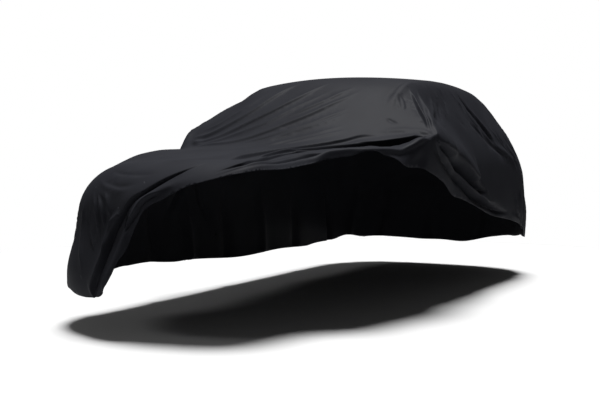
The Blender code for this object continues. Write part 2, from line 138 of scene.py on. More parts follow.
# lines that the folds follow, in p, q; a line's left and right are those of a walk along it over the
# flat cloth, seen from above
LINES = {
    # band over the nose, from its foot up to the deck
    "band_crease": [
        (-0.74, -1.40), (-0.665, -1.315), (-0.61, -1.275), (-0.545, -1.23), (-0.495, -1.185),
        (-0.46, -1.135), (-0.425, -1.09), (-0.39, -1.045), (-0.335, -1.00), (-0.285, -0.96),
        (-0.21, -0.895), (-0.11, -0.85), (-0.01, -0.78), (0.085, -0.705), (0.16, -0.63),
        (0.22, -0.56),
    ],
    "band_lip": [
        (-0.72, -1.37), (-0.64, -1.30), (-0.56, -1.25), (-0.51, -1.195), (-0.47, -1.15),
        (-0.435, -1.10), (-0.40, -1.06), (-0.35, -1.01), (-0.30, -0.96), (-0.25, -0.93),
    ],
    "band_hollow": [
        (-0.69, -1.38), (-0.63, -1.315), (-0.56, -1.265), (-0.50, -1.215), (-0.45, -1.155),
        (-0.41, -1.10), (-0.37, -1.045), (-0.325, -0.995), (-0.28, -0.955),
    ],
    "band_roll": [
        (-0.57, -1.39), (-0.50, -1.32), (-0.44, -1.29), (-0.38, -1.245), (-0.345, -1.20),
        (-0.315, -1.15), (-0.285, -1.095), (-0.25, -1.04), (-0.215, -0.985), (-0.17, -0.945),
        (-0.13, -0.91), (-0.075, -0.88), (0.00, -0.84), (0.085, -0.80), (0.165, -0.76),
        (0.24, -0.72),
    ],
    "band_second": [
        (-0.28, -1.09), (-0.255, -1.05), (-0.21, -1.005), (-0.17, -0.97), (-0.13, -0.925),
        (-0.06, -0.885), (0.025, -0.85),
    ],
    "band_nick": [(-0.285, -1.06), (-0.27, -1.01), (-0.245, -0.96)],
    "band_hem": [(-0.26, -1.10), (-0.22, -1.05), (-0.18, -1.005), (-0.13, -0.97), (-0.07, -0.91)],
    "band_branch": [(-0.46, -1.015), (-0.39, -0.985), (-0.315, -0.955)],
    # bunched rolls over the deck, up to the near peak
    "roll_front": [
        (0.27, -0.735), (0.35, -0.665), (0.41, -0.585), (0.445, -0.50), (0.455, -0.35),
        (0.465, -0.18), (0.50, -0.07), (0.545, 0.00), (0.60, 0.065),
    ],
    "roll_edge": [
        (0.565, -0.12), (0.63, 0.01), (0.70, 0.08), (0.77, 0.13), (0.81, 0.17), (0.845, 0.24),
        (0.87, 0.37), (0.88, 0.48), (0.885, 0.545), (0.895, 0.60), (0.897, 0.65), (0.90, 0.70),
        (0.905, 0.73), (0.912, 0.76),
    ],
    "crease_low": [
        (0.27, -0.73), (0.295, -0.69), (0.36, -0.615), (0.395, -0.56), (0.385, -0.43),
        (0.35, -0.29), (0.335, -0.17), (0.335, -0.055), (0.35, 0.03), (0.39, 0.085), (0.42, 0.14),
        (0.455, 0.20),
    ],
    "crease_mid": [
        (0.33, -0.32), (0.31, -0.20), (0.305, -0.10), (0.32, -0.01), (0.345, 0.07), (0.365, 0.165),
        (0.40, 0.235), (0.43, 0.31), (0.475, 0.39), (0.525, 0.45), (0.575, 0.51), (0.63, 0.565),
        (0.68, 0.60),
    ],
    "crease_edge": [
        (0.45, -0.54), (0.475, -0.42), (0.485, -0.32), (0.49, -0.20), (0.515, -0.08), (0.55, 0.01),
        (0.60, 0.07), (0.65, 0.115),
    ],
    "crease_top": [
        (0.22, -0.49), (0.18, -0.25), (0.19, -0.10), (0.225, 0.015), (0.26, 0.135), (0.29, 0.28),
        (0.345, 0.375), (0.41, 0.455), (0.46, 0.51), (0.50, 0.56), (0.53, 0.60), (0.57, 0.635),
        (0.625, 0.665), (0.69, 0.705), (0.73, 0.73),
    ],
    "slit": [
        (0.54, 0.485), (0.59, 0.535), (0.645, 0.585), (0.71, 0.625), (0.75, 0.655), (0.79, 0.685),
        (0.82, 0.72), (0.84, 0.755), (0.855, 0.785),
    ],
    "flap": [(0.90, 0.30), (0.95, 0.44), (0.99, 0.58), (1.01, 0.72)],
    "rim": [
        (0.30, -0.74), (0.35, -0.71), (0.44, -0.625), (0.505, -0.50), (0.54, -0.36), (0.56, -0.20),
        (0.60, -0.065), (0.66, 0.025), (0.735, 0.09), (0.805, 0.16), (0.855, 0.245), (0.895, 0.33),
        (0.94, 0.43),
    ],
    "peak_ridge": [
        (0.897, 0.80), (0.84, 0.815), (0.79, 0.80), (0.74, 0.78), (0.70, 0.755), (0.655, 0.725),
        (0.595, 0.69),
    ],
    # swag below the near peak
    "swag_lip": [
        (0.905, 0.79), (0.938, 0.83), (0.957, 0.915), (0.96, 1.05), (0.952, 1.24), (0.957, 1.38),
        (0.975, 1.475), (1.005, 1.575), (1.045, 1.67), (1.075, 1.76), (1.095, 1.86),
    ],
    "swag_valley": [
        (0.925, 0.82), (0.953, 0.875), (0.973, 0.965), (0.982, 1.10), (0.975, 1.28), (0.993, 1.395),
        (1.028, 1.49), (1.07, 1.59), (1.105, 1.70), (1.14, 1.80), (1.165, 1.92), (1.19, 2.03),
    ],
    "swag_ridge": [
        (0.915, 0.79), (0.95, 0.845), (0.98, 0.92), (1.00, 1.02), (1.01, 1.15), (1.012, 1.30),
        (1.04, 1.41), (1.08, 1.50), (1.13, 1.60), (1.17, 1.725), (1.21, 1.865), (1.245, 2.00),
        (1.262, 2.15),
    ],
    "swag_trough": [
        (0.95, 0.80), (0.985, 0.86), (1.015, 0.94), (1.04, 1.03), (1.05, 1.17), (1.06, 1.31),
        (1.095, 1.42), (1.14, 1.51), (1.185, 1.62), (1.225, 1.75), (1.26, 1.91), (1.29, 2.07),
        (1.325, 2.28), (1.34, 2.49), (1.34, 2.60),
    ],
    "swag_roll": [
        (0.93, 0.75), (0.965, 0.77), (1.005, 0.81), (1.04, 0.875), (1.07, 0.96), (1.09, 1.04),
        (1.10, 1.18), (1.115, 1.32), (1.15, 1.42), (1.19, 1.52), (1.235, 1.63), (1.275, 1.785),
        (1.305, 1.98), (1.33, 2.20),
    ],
    # fan from the near peak up to the rail
    "fan_a": [
        (0.875, 0.835), (0.84, 0.87), (0.80, 0.94), (0.75, 1.02), (0.71, 1.095), (0.675, 1.17),
        (0.625, 1.25),
    ],
    "fan_a_low": [
        (0.86, 0.85), (0.825, 0.88), (0.78, 0.945), (0.74, 1.005), (0.70, 1.09), (0.67, 1.155),
        (0.635, 1.23),
    ],
    "fan_b": [
        (0.885, 0.84), (0.865, 0.87), (0.835, 0.94), (0.795, 1.025), (0.735, 1.185), (0.69, 1.27),
        (0.64, 1.34),
    ],
    "fan_b_low": [
        (0.875, 0.87), (0.855, 0.92), (0.82, 0.98), (0.775, 1.045), (0.74, 1.14), (0.705, 1.215),
        (0.67, 1.27),
    ],
    "fan_c": [
        (0.89, 0.85), (0.86, 0.905), (0.81, 1.05), (0.775, 1.20), (0.74, 1.32), (0.705, 1.36),
        (0.645, 1.44),
    ],
    "fan_c_low": [
        (0.87, 0.92), (0.825, 1.07), (0.785, 1.21), (0.73, 1.33), (0.69, 1.37), (0.65, 1.43),
    ],
    "fan_d": [(0.86, 1.00), (0.785, 1.34), (0.74, 1.43), (0.69, 1.52), (0.665, 1.565)],
    "fan_e": [(0.80, 1.30), (0.765, 1.385), (0.73, 1.44), (0.70, 1.48)],
    "fan_f": [(0.81, 1.385), (0.775, 1.455), (0.745, 1.515), (0.715, 1.575)],
    "fan_g": [
        (0.795, 1.53), (0.765, 1.565), (0.735, 1.59), (0.71, 1.605), (0.68, 1.63), (0.65, 1.65),
    ],
    "fan_h": [(0.77, 1.635), (0.74, 1.68), (0.71, 1.72), (0.66, 1.785)],
    # short creases across the rail, and its edge
    "rail_a": [(0.655, 0.95), (0.625, 1.03), (0.595, 1.10)],
    "rail_b": [(0.662, 0.96), (0.637, 1.03), (0.608, 1.11)],
    "rail_c": [(0.68, 0.96), (0.65, 1.04), (0.62, 1.12)],
    "rail_nick": [(0.61, 0.845), (0.65, 0.825), (0.69, 0.82)],
    "rail_edge": [
        (0.615, 0.86), (0.60, 0.92), (0.59, 0.98), (0.585, 1.05), (0.588, 1.13), (0.588, 1.22),
        (0.585, 1.35), (0.575, 1.46),
    ],
    # strain lines down the flank
    "strain_a": [
        (0.65, 2.085), (0.70, 2.145), (0.745, 2.195), (0.795, 2.265), (0.85, 2.355), (0.885, 2.515),
        (0.905, 2.62),
    ],
    "strain_b": [
        (0.655, 1.965), (0.71, 2.02), (0.765, 2.07), (0.82, 2.125), (0.86, 2.24), (0.89, 2.33),
    ],
    "strain_c": [
        (0.695, 2.02), (0.76, 2.07), (0.81, 2.14), (0.865, 2.255), (0.91, 2.46), (0.93, 2.60),
    ],
    "strain_d": [
        (0.68, 2.14), (0.735, 2.20), (0.785, 2.27), (0.835, 2.355), (0.885, 2.475), (0.92, 2.66),
        (0.955, 2.81), (0.985, 2.87),
    ],
    "strain_e": [(0.80, 2.52), (0.845, 2.61), (0.89, 2.75), (0.92, 2.95), (0.94, 3.03)],
    "strain_f": [
        (0.78, 2.45), (0.845, 2.54), (0.89, 2.67), (0.918, 2.78), (0.93, 2.92), (0.935, 3.02),
    ],
    "strain_g": [(0.80, 2.78), (0.84, 2.84), (0.865, 3.00), (0.86, 3.16)],
    "strain_h": [(0.755, 1.965), (0.80, 2.03), (0.84, 2.12), (0.89, 2.29), (0.91, 2.43)],
    "strain_i": [(0.775, 1.785), (0.80, 1.825), (0.825, 1.89)],
    # soft folds at the near tail corner
    "corner_a": [(1.10, 2.915), (1.21, 2.96), (1.285, 3.075), (1.33, 3.185)],
    "corner_b": [(1.19, 2.76), (1.28, 2.84), (1.335, 3.00)],
    "corner_c": [(1.34, 2.615), (1.37, 2.78), (1.375, 3.03)],
    # far corner of the nose
    "arc_a": [(-0.56, -0.66), (-0.48, -0.745), (-0.40, -0.80), (-0.315, -0.83), (-0.20, -0.845)],
    "arc_b": [
        (-0.525, -0.69), (-0.47, -0.735), (-0.405, -0.77), (-0.34, -0.80), (-0.26, -0.805),
        (-0.17, -0.80),
    ],
    "arc_c": [(-0.49, -0.62), (-0.38, -0.69), (-0.29, -0.72), (-0.18, -0.735), (-0.06, -0.73)],
    "nose_a": [(-0.535, -0.77), (-0.51, -0.83), (-0.495, -0.90), (-0.49, -0.97), (-0.485, -1.05)],
    "nose_b": [(-0.465, -0.79), (-0.43, -0.86), (-0.415, -0.92), (-0.41, -0.99)],
    "nose_c": [
        (-0.60, -0.80), (-0.63, -0.87), (-0.645, -0.94), (-0.63, -1.01), (-0.59, -1.09),
        (-0.57, -1.15),
    ],
    "nose_d": [
        (-0.58, -0.74), (-0.56, -0.81), (-0.55, -0.89), (-0.555, -0.98), (-0.54, -1.07),
        (-0.53, -1.14),
    ],
    "nose_e": [(-0.35, -0.94), (-0.41, -0.995), (-0.45, -1.05), (-0.475, -1.11), (-0.49, -1.18)],
    "nose_f": [
        (-0.665, -0.73), (-0.71, -0.81), (-0.755, -0.88), (-0.77, -0.98), (-0.77, -1.09),
        (-0.77, -1.18),
    ],
    "nose_g": [(-0.81, -0.69), (-0.88, -0.73), (-0.91, -0.80), (-0.92, -0.92)],
    # fan over the screen slope from the far peak
    "screen_a": [
        (-0.84, 0.80), (-0.74, 0.73), (-0.64, 0.70), (-0.54, 0.71), (-0.43, 0.76), (-0.35, 0.84),
        (-0.28, 0.95), (-0.20, 1.10), (-0.15, 1.20),
    ],
    "screen_b": [
        (-0.80, 0.84), (-0.66, 0.81), (-0.58, 0.85), (-0.50, 0.89), (-0.43, 0.98), (-0.36, 1.08),
    ],
    "screen_c": [
        (-0.84, 0.77), (-0.68, 0.62), (-0.53, 0.59), (-0.43, 0.61), (-0.30, 0.67), (-0.17, 0.76),
        (-0.05, 0.89), (0.03, 1.03), (0.09, 1.16),
    ],
    "screen_d": [
        (-0.83, 0.74), (-0.66, 0.575), (-0.53, 0.55), (-0.41, 0.555), (-0.25, 0.59), (-0.13, 0.65),
        (-0.03, 0.76), (0.08, 0.89), (0.18, 1.05),
    ],
    "screen_e": [(-0.04, 0.67), (0.06, 0.75), (0.17, 0.87), (0.25, 1.00), (0.30, 1.10)],
    "screen_f": [
        (-0.72, 0.56), (-0.50, 0.48), (-0.36, 0.45), (-0.25, 0.465), (-0.11, 0.52), (0.01, 0.60),
        (0.13, 0.70), (0.23, 0.83), (0.31, 0.95), (0.37, 1.08),
    ],
    "screen_g": [
        (-0.24, 0.42), (-0.12, 0.45), (0.05, 0.53), (0.19, 0.62), (0.31, 0.75), (0.38, 0.85),
    ],
    "screen_h": [(-0.11, 0.38), (0.03, 0.48), (0.21, 0.60), (0.30, 0.68), (0.39, 0.80)],
    "screen_i": [(-0.02, 0.32), (0.12, 0.43), (0.29, 0.54), (0.43, 0.68)],
    "screen_j": [(0.08, 0.33), (0.22, 0.44), (0.34, 0.53), (0.46, 0.63)],
    # skirt of the side and end that are out of view
    "hang_a": [(-1.05, -0.30), (-1.30, -0.42), (-1.54, -0.52)],
    "hang_b": [(-1.12, 0.36), (-1.40, 0.40), (-1.66, 0.42)],
    "hang_c": [(-1.10, 0.75), (-1.38, 0.82), (-1.68, 0.86)],
    "hang_d": [(-1.12, 1.30), (-1.40, 1.34), (-1.70, 1.36)],
    "hang_e": [(-1.10, 1.86), (-1.40, 1.90), (-1.71, 1.92)],
    "hang_f": [(-1.12, 2.42), (-1.40, 2.46), (-1.70, 2.46)],
    "hang_g": [(-1.02, 3.08), (-1.26, 3.22), (-1.60, 3.40)],
    "hang_h": [(-0.86, 3.46), (-1.06, 3.64), (-1.36, 3.74)],
    "hang_i": [(-0.60, 3.62), (-0.76, 3.86), (-0.94, 4.06)],
    "hang_j": [(-0.14, 3.70), (-0.18, 3.98), (-0.20, 4.29)],
    "hang_k": [(0.46, 3.66), (0.52, 3.92), (0.58, 4.21)],
    "hang_l": [(1.00, 3.34), (1.16, 3.46), (1.45, 3.56)],
    "hang_m": [(1.00, 3.10), (1.18, 3.20), (1.40, 3.28)],
    # far peak, far flank and tail slope, out of view too
    "far_fan_a": [(-0.89, 0.94), (-0.82, 1.03), (-0.73, 1.16), (-0.66, 1.30)],
    "far_fan_b": [(-0.90, 0.97), (-0.86, 1.10), (-0.80, 1.28), (-0.71, 1.50)],
    "far_fan_c": [(-0.95, 0.98), (-1.02, 1.20), (-1.04, 1.50), (-1.01, 1.86)],
    "far_drop_a": [(-0.95, 0.88), (-1.06, 0.82), (-1.22, 0.68), (-1.38, 0.50)],
    "far_drop_b": [(-0.97, 0.93), (-1.14, 0.97), (-1.34, 1.06), (-1.50, 1.18)],
    "far_tip": [(-0.94, 0.74), (-0.91, 0.84), (-0.90, 0.94), (-0.92, 1.06)],
    "far_strain_a": [(-0.66, 2.06), (-0.76, 2.22), (-0.88, 2.44), (-0.96, 2.70)],
    "far_strain_b": [(-0.68, 2.30), (-0.80, 2.48), (-0.90, 2.72), (-0.97, 3.00)],
    "tail_strain_a": [(-0.56, 2.92), (-0.70, 3.10), (-0.86, 3.26)],
    "tail_strain_b": [(0.54, 2.96), (0.68, 3.14), (0.84, 3.28)],
}

# folds: line, shift of the crest to its left, width on the left, width on the right, lift (down
# where negative), parts of the line's length in which the fold eases in and out
FOLDS = [
    # band over the nose, from its foot up to the deck
    ("band_crease", 0.010, 0.060, 0.008, 0.013, 0.12, 0.40),
    ("band_crease", -0.006, 0.008, 0.010, -0.020, 0.12, 0.40),
    ("band_lip", 0.004, 0.040, 0.010, 0.012, 0.15, 0.25),
    ("band_hollow", -0.004, 0.014, 0.014, -0.012, 0.20, 0.40),
    ("band_roll", 0.000, 0.036, 0.034, 0.022, 0.10, 0.45),
    ("band_second", 0.000, 0.010, 0.010, -0.014, 0.15, 0.25),
    ("band_second", 0.020, 0.014, 0.012, 0.006, 0.20, 0.30),
    ("band_nick", 0.000, 0.008, 0.010, -0.012, 0.30, 0.35),
    ("band_hem", 0.000, 0.012, 0.012, 0.009, 0.25, 0.30),
    ("band_branch", 0.000, 0.014, 0.014, 0.010, 0.40, 0.10),
    # bunched rolls over the deck, up to the near peak
    ("roll_front", 0.000, 0.034, 0.012, 0.012, 0.30, 0.25),
    ("roll_edge", 0.004, 0.040, 0.012, 0.030, 0.15, 0.10),
    ("crease_low", 0.005, 0.040, 0.008, 0.014, 0.25, 0.20),
    ("crease_low", -0.008, 0.007, 0.014, -0.014, 0.25, 0.20),
    ("crease_mid", 0.005, 0.050, 0.008, 0.014, 0.15, 0.12),
    ("crease_mid", -0.008, 0.007, 0.014, -0.014, 0.15, 0.12),
    ("crease_edge", 0.005, 0.030, 0.008, 0.008, 0.30, 0.20),
    ("crease_edge", -0.007, 0.007, 0.010, -0.012, 0.30, 0.20),
    ("crease_top", 0.006, 0.130, 0.016, 0.018, 0.20, 0.30),
    ("crease_top", -0.014, 0.012, 0.030, -0.010, 0.20, 0.40),
    ("slit", 0.012, 0.060, 0.010, 0.022, 0.60, 0.15),
    ("slit", -0.012, 0.012, 0.026, -0.045, 0.75, 0.12),
    ("flap", 0.000, 0.050, 0.100, -0.020, 0.70, 0.20),
    ("rim", 0.000, 0.018, 0.040, -0.026, 0.30, 0.50),
    ("peak_ridge", 0.000, 0.020, 0.024, 0.010, 0.15, 0.45),
    # swag below the near peak
    ("swag_lip", 0.000, 0.100, 0.011, 0.044, 0.17, 0.12),
    ("swag_lip", -0.006, 0.120, 0.040, 0.030, 0.36, 0.50),
    ("swag_valley", 0.000, 0.016, 0.018, -0.050, 0.12, 0.70),
    ("swag_valley", -0.004, 0.020, 0.022, -0.040, 0.28, 0.50),
    ("swag_valley", 0.000, 0.030, 0.040, -0.075, 0.45, 0.20),
    ("swag_ridge", 0.000, 0.012, 0.012, 0.040, 0.16, 0.15),
    ("swag_trough", 0.000, 0.014, 0.014, -0.035, 0.20, 0.70),
    ("swag_trough", 0.000, 0.026, 0.024, -0.055, 0.45, 0.25),
    ("swag_roll", 0.000, 0.014, 0.060, 0.012, 0.15, 0.25),
    # fan from the near peak up to the rail
    ("fan_a", 0.000, 0.014, 0.011, 0.022, 0.28, 0.35),
    ("fan_a_low", 0.000, 0.010, 0.011, -0.006, 0.35, 0.30),
    ("fan_b", 0.000, 0.014, 0.012, 0.016, 0.32, 0.35),
    ("fan_b_low", 0.000, 0.010, 0.011, -0.006, 0.30, 0.30),
    ("fan_c", 0.000, 0.016, 0.012, 0.012, 0.30, 0.40),
    ("fan_c_low", 0.000, 0.010, 0.012, -0.008, 0.30, 0.40),
    ("fan_d", 0.000, 0.014, 0.016, -0.013, 0.22, 0.35),
    ("fan_d", 0.022, 0.014, 0.012, 0.010, 0.25, 0.40),
    ("fan_e", 0.000, 0.012, 0.011, 0.010, 0.30, 0.30),
    ("fan_f", 0.000, 0.012, 0.012, -0.008, 0.30, 0.30),
    ("fan_g", 0.000, 0.012, 0.012, 0.008, 0.30, 0.30),
    ("fan_h", 0.000, 0.014, 0.012, -0.008, 0.30, 0.30),
    # short creases across the rail, and its edge
    ("rail_a", 0.006, 0.012, 0.012, 0.005, 0.35, 0.35),
    ("rail_b", -0.012, 0.012, 0.012, 0.005, 0.35, 0.35),
    ("rail_c", -0.006, 0.012, 0.012, -0.004, 0.35, 0.35),
    ("rail_nick", 0.000, 0.012, 0.014, -0.006, 0.35, 0.40),
    ("rail_edge", 0.000, 0.030, 0.024, 0.012, 0.35, 0.30),
    ("rail_edge", 0.040, 0.020, 0.020, -0.007, 0.35, 0.40),
    # strain lines down the flank
    ("strain_a", 0.000, 0.013, 0.015, -0.016, 0.20, 0.30),
    ("strain_b", 0.000, 0.014, 0.012, 0.009, 0.20, 0.35),
    ("strain_c", 0.000, 0.012, 0.014, -0.014, 0.20, 0.30),
    ("strain_d", 0.000, 0.018, 0.014, 0.016, 0.20, 0.20),
    ("strain_e", 0.000, 0.012, 0.012, -0.012, 0.25, 0.25),
    ("strain_f", 0.000, 0.013, 0.012, 0.011, 0.25, 0.25),
    ("strain_g", 0.000, 0.012, 0.014, -0.010, 0.25, 0.30),
    ("strain_h", 0.000, 0.012, 0.012, -0.008, 0.25, 0.35),
    ("strain_i", 0.000, 0.014, 0.014, -0.006, 0.30, 0.30),
    # soft folds at the near tail corner
    ("corner_a", 0.000, 0.018, 0.024, 0.012, 0.25, 0.25),
    ("corner_a", 0.036, 0.016, 0.016, -0.010, 0.25, 0.25),
    ("corner_b", 0.000, 0.018, 0.020, 0.010, 0.25, 0.25),
    ("corner_c", 0.000, 0.018, 0.020, 0.010, 0.30, 0.25),
    # far corner of the nose
    ("arc_a", 0.000, 0.022, 0.020, 0.005, 0.30, 0.40),
    ("arc_b", 0.000, 0.016, 0.016, -0.005, 0.30, 0.45),
    ("arc_c", 0.000, 0.014, 0.014, -0.005, 0.30, 0.40),
    ("nose_a", 0.000, 0.013, 0.013, 0.012, 0.40, 0.35),
    ("nose_a", 0.028, 0.014, 0.014, -0.007, 0.40, 0.40),
    ("nose_a", -0.026, 0.014, 0.014, -0.007, 0.40, 0.40),
    ("nose_b", 0.000, 0.014, 0.014, 0.010, 0.35, 0.35),
    ("nose_c", 0.000, 0.013, 0.013, 0.012, 0.35, 0.35),
    ("nose_c", -0.028, 0.014, 0.014, -0.007, 0.35, 0.40),
    ("nose_d", 0.000, 0.013, 0.013, 0.010, 0.30, 0.30),
    ("nose_e", 0.000, 0.016, 0.016, 0.012, 0.30, 0.30),
    ("nose_f", 0.000, 0.018, 0.020, 0.012, 0.30, 0.30),
    ("nose_g", 0.000, 0.022, 0.022, 0.009, 0.30, 0.30),
    # fan over the screen slope from the far peak
    ("screen_a", 0.000, 0.032, 0.018, 0.018, 0.12, 0.30),
    ("screen_b", 0.000, 0.022, 0.017, 0.008, 0.25, 0.35),
    ("screen_c", 0.000, 0.030, 0.018, 0.018, 0.12, 0.30),
    ("screen_d", 0.000, 0.020, 0.017, 0.010, 0.15, 0.35),
    ("screen_e", 0.000, 0.018, 0.016, 0.010, 0.30, 0.30),
    ("screen_f", 0.000, 0.028, 0.018, 0.015, 0.18, 0.30),
    ("screen_g", 0.000, 0.020, 0.016, 0.011, 0.20, 0.30),
    ("screen_h", 0.000, 0.017, 0.016, 0.008, 0.20, 0.30),
    ("screen_i", 0.000, 0.022, 0.017, 0.009, 0.20, 0.35),
    ("screen_j", 0.000, 0.022, 0.017, 0.008, 0.20, 0.35),
    # skirt of the side and end that are out of view
    ("hang_a", 0.000, 0.045, 0.060, 0.024, 0.55, 0.02),
    ("hang_b", 0.000, 0.050, 0.060, 0.026, 0.55, 0.02),
    ("hang_c", 0.000, 0.040, 0.045, -0.020, 0.50, 0.02),
    ("hang_d", 0.000, 0.055, 0.065, 0.026, 0.55, 0.02),
    ("hang_e", 0.000, 0.045, 0.050, -0.018, 0.50, 0.02),
    ("hang_f", 0.000, 0.050, 0.060, 0.024, 0.55, 0.02),
    ("hang_g", 0.000, 0.040, 0.050, 0.026, 0.50, 0.02),
    ("hang_h", 0.000, 0.040, 0.045, -0.020, 0.50, 0.02),
    ("hang_i", 0.000, 0.045, 0.050, 0.024, 0.55, 0.02),
    ("hang_j", 0.000, 0.050, 0.060, 0.020, 0.60, 0.02),
    ("hang_k", 0.000, 0.045, 0.050, 0.022, 0.55, 0.02),
    ("hang_l", 0.000, 0.045, 0.050, 0.020, 0.45, 0.02),
    ("hang_m", 0.000, 0.040, 0.045, -0.016, 0.45, 0.05),
    # far peak, far flank and tail slope, out of view too
    ("far_fan_a", 0.000, 0.018, 0.015, 0.014, 0.15, 0.40),
    ("far_fan_b", 0.000, 0.018, 0.016, 0.012, 0.15, 0.40),
    ("far_fan_c", 0.000, 0.024, 0.018, 0.016, 0.15, 0.40),
    ("far_drop_a", 0.000, 0.020, 0.024, 0.018, 0.15, 0.45),
    ("far_drop_b", 0.000, 0.024, 0.020, 0.018, 0.15, 0.45),
    ("far_tip", 0.000, 0.060, 0.060, 0.018, 0.35, 0.35),
    ("far_strain_a", 0.000, 0.018, 0.022, -0.014, 0.30, 0.35),
    ("far_strain_b", 0.000, 0.022, 0.018, 0.013, 0.30, 0.35),
    ("tail_strain_a", 0.000, 0.022, 0.020, 0.012, 0.30, 0.40),
    ("tail_strain_b", 0.000, 0.020, 0.022, 0.012, 0.30, 0.40),
]

# ---- mesh of the sheet ----
CELL = 0.040               # of the flat grid, before its cells are halved
LINE_STEPS = 5             # steps between two rows of a line
HEM_STEPS = 12             # steps between two rows of the hem
LINE_BOX = 0.30            # how far past a line its folds are looked for
END_WIDTH = 0.45           # width of a fold at its ends, as a part of its full width
NORMAL_STEP = 0.004        # over which the cloth's slope is measured
RIM_MERGE = CELL / 16.0    # points on the rim closer than this become one
RIM_SMOOTHINGS = 3         # of the points next to the rim
TINY = 1e-12               # keeps a division from a zero

# halvings, one after the other: cells are halved beside folds narrower than this, out to so many of
# their widths, of the wider or the narrower side, and up to so far from the hem
HALVINGS = [
    (0.2000, 1.2, max, 0.02683),
    (0.0190, 1.8, min, 0.00827),
    (0.0125, 1.3, min, 0.00671),
]
HALVING_MARGIN = 0.004     # added to what the widths give

# ---- looks, floor, lights and camera ----
KNIT_ROUGHNESS = 0.58
KNIT_SPECULAR = 0.03
KNIT_PATCH_SCALE = 3.0     # of the noise that its tone follows
KNIT_PATCH_DETAIL = 3.0
KNIT_TONES = [             # value of the noise, colour
    (0.35, (0.0120, 0.0124, 0.0155, 1.0)),
    (0.65, (0.0147, 0.0153, 0.0188, 1.0)),
]
FLOOR_RADIUS = 4.4
FLOOR_SIDES = 96
FLOOR_MIDDLE = (0.0, -0.4)
FLOOR_COLOUR = (0.435, 0.435, 0.435, 1.0)
FLOOR_ROUGHNESS = 0.9
WHITE = (1.0, 1.0, 1.0, 1.0)
GLOW = 0.07                # of the surroundings as a light
SEEN = 1.0                 # of the surroundings as the camera sees them
LAMPS = [                  # name, strength, angle in degrees, way that the light travels
    ("overhead", 7.3, 22.0, (0.05, -0.20, -1.0)),
    ("side", 0.5, 12.0, (0.80, 0.45, -0.42)),
]
CAMERA_PLACE = (3.296, -7.115, -0.5405)
CAMERA_TURN = 28.06        # degrees, from looking along the cover
CAMERA_TIP = -2.82         # degrees, from level
CAMERA_LENS = 61.34        # mm
CAMERA_SENSOR = 36.0       # mm wide
CAMERA_END = 400.0         # how far it sees


def ramp(x):
    """Rises softly from 0 to 1."""
    x = np.clip(x, 0.0, 1.0)
    return x * x * (3.0 - 2.0 * x)


def column(table, k):
    return [row[k] for row in table]


def curve(x, xs, ys):
    """Monotone cubic through the rows of a table."""
    xs = np.asarray(xs, float)
    ys = np.asarray(ys, float)
    step = np.diff(xs)
    rise = np.diff(ys) / step
    slope = np.zeros_like(ys)
    slope[0] = rise[0]
    slope[-1] = rise[-1]
    for i in range(1, len(xs) - 1):
        if rise[i - 1] * rise[i] > 0.0:
            a = 2.0 * step[i] + step[i - 1]
            b = step[i] + 2.0 * step[i - 1]
            slope[i] = (a + b) / (a / rise[i - 1] + b / rise[i])
    x = np.clip(x, xs[0], xs[-1])
    i = np.clip(np.searchsorted(xs, x) - 1, 0, len(step) - 1)
    t = (x - xs[i]) / step[i]
    keep = (1.0 + 2.0 * t) * (1.0 - t) ** 2 * ys[i] + t * t * (3.0 - 2.0 * t) * ys[i + 1]
    bend = t * (1.0 - t) ** 2 * step[i] * slope[i] + t * t * (t - 1.0) * step[i] * slope[i + 1]
    return keep + bend


def soft_min(a, b, k):
    """The lower of two heights, rounded over k where they meet."""
    h = np.clip(0.5 + 0.5 * (b - a) / k, 0.0, 1.0)
    return b * (1.0 - h) + a * h - k * h * (1.0 - h)


def soft_max(a, b, k):
    return -soft_min(-a, -b, k)


def top_height(x, y):
    """Height of the deck, screen slope, roof and tail slope over the plan."""
    out = np.abs(x)
    middle = curve(y, column(DECK, 0), column(DECK, 1))
    edge = curve(y, column(DECK, 0), column(DECK, 2))
    deck = middle + (edge - middle) * (out / DECK_EDGE) ** DECK_POWER
    wide = (out / ROOF_HALF) ** 2
    front = np.minimum(y - SWEEP_FRONT * wide, SWEEP_SPLIT)
    back = np.maximum(y + SWEEP_TAIL * wide, SWEEP_SPLIT)
    along = np.where(y < SWEEP_SPLIT, front, back)
    roof = curve(along, column(ROOF, 0), column(ROOF, 1)) - ROOF_CROWN * wide
    half, height, fall = (curve(y, column(RAIL, 0), column(RAIL, k)) for k in (1, 2, 3))
    side = height - fall * (out - half)
    return soft_max(deck, soft_min(roof, side, RAIL_SOFT), WAIST_SOFT)


def smooth_form(p, q):
    """The cover's form without peaks and folds."""
    spine = np.clip(q, NOSE_SPINE, TAIL_SPINE)
    reach = np.hypot(p, q - spine) + TINY
    ux = p / reach
    uy = (q - spine) / reach
    nose = q < spine
    length = np.where(nose, NOSE_REACH, TAIL_REACH)
    power = np.where(nose, NOSE_POWER, TAIL_POWER)
    outline = (np.abs(ux / HALF_WIDTH) ** power + np.abs(uy / length) ** power + TINY) ** (-1.0 / power)
    station = spine + uy * outline
    radius = curve(station, column(DECK, 0), column(DECK, 3))
    inner = outline - radius
    past = np.maximum(reach - inner, 0.0)
    turn = np.clip(past / radius, 0.0, np.pi / 2.0)
    down = np.maximum(past - radius * np.pi / 2.0, 0.0)
    plan = np.minimum(reach, inner) + radius * np.sin(turn)
    z = top_height(ux * plan, spine + uy * plan) - radius * (1.0 - np.cos(turn)) - down
    at_nose = ramp((NOSE_SPINE - station) / NOSE_BLEND)
    swell = SWELL * np.sin(np.pi * np.clip(down / SWELL_DEPTH, 0.0, 1.0))
    flare = FLARE * ramp(down / FLARE_DEPTH) - TUCK * ramp((down - TUCK_START) / TUCK_DEPTH)
    plan = plan + (1.0 - at_nose) * swell + at_nose * flare
    return np.stack([ux * plan, spine + uy * plan, z], -1)


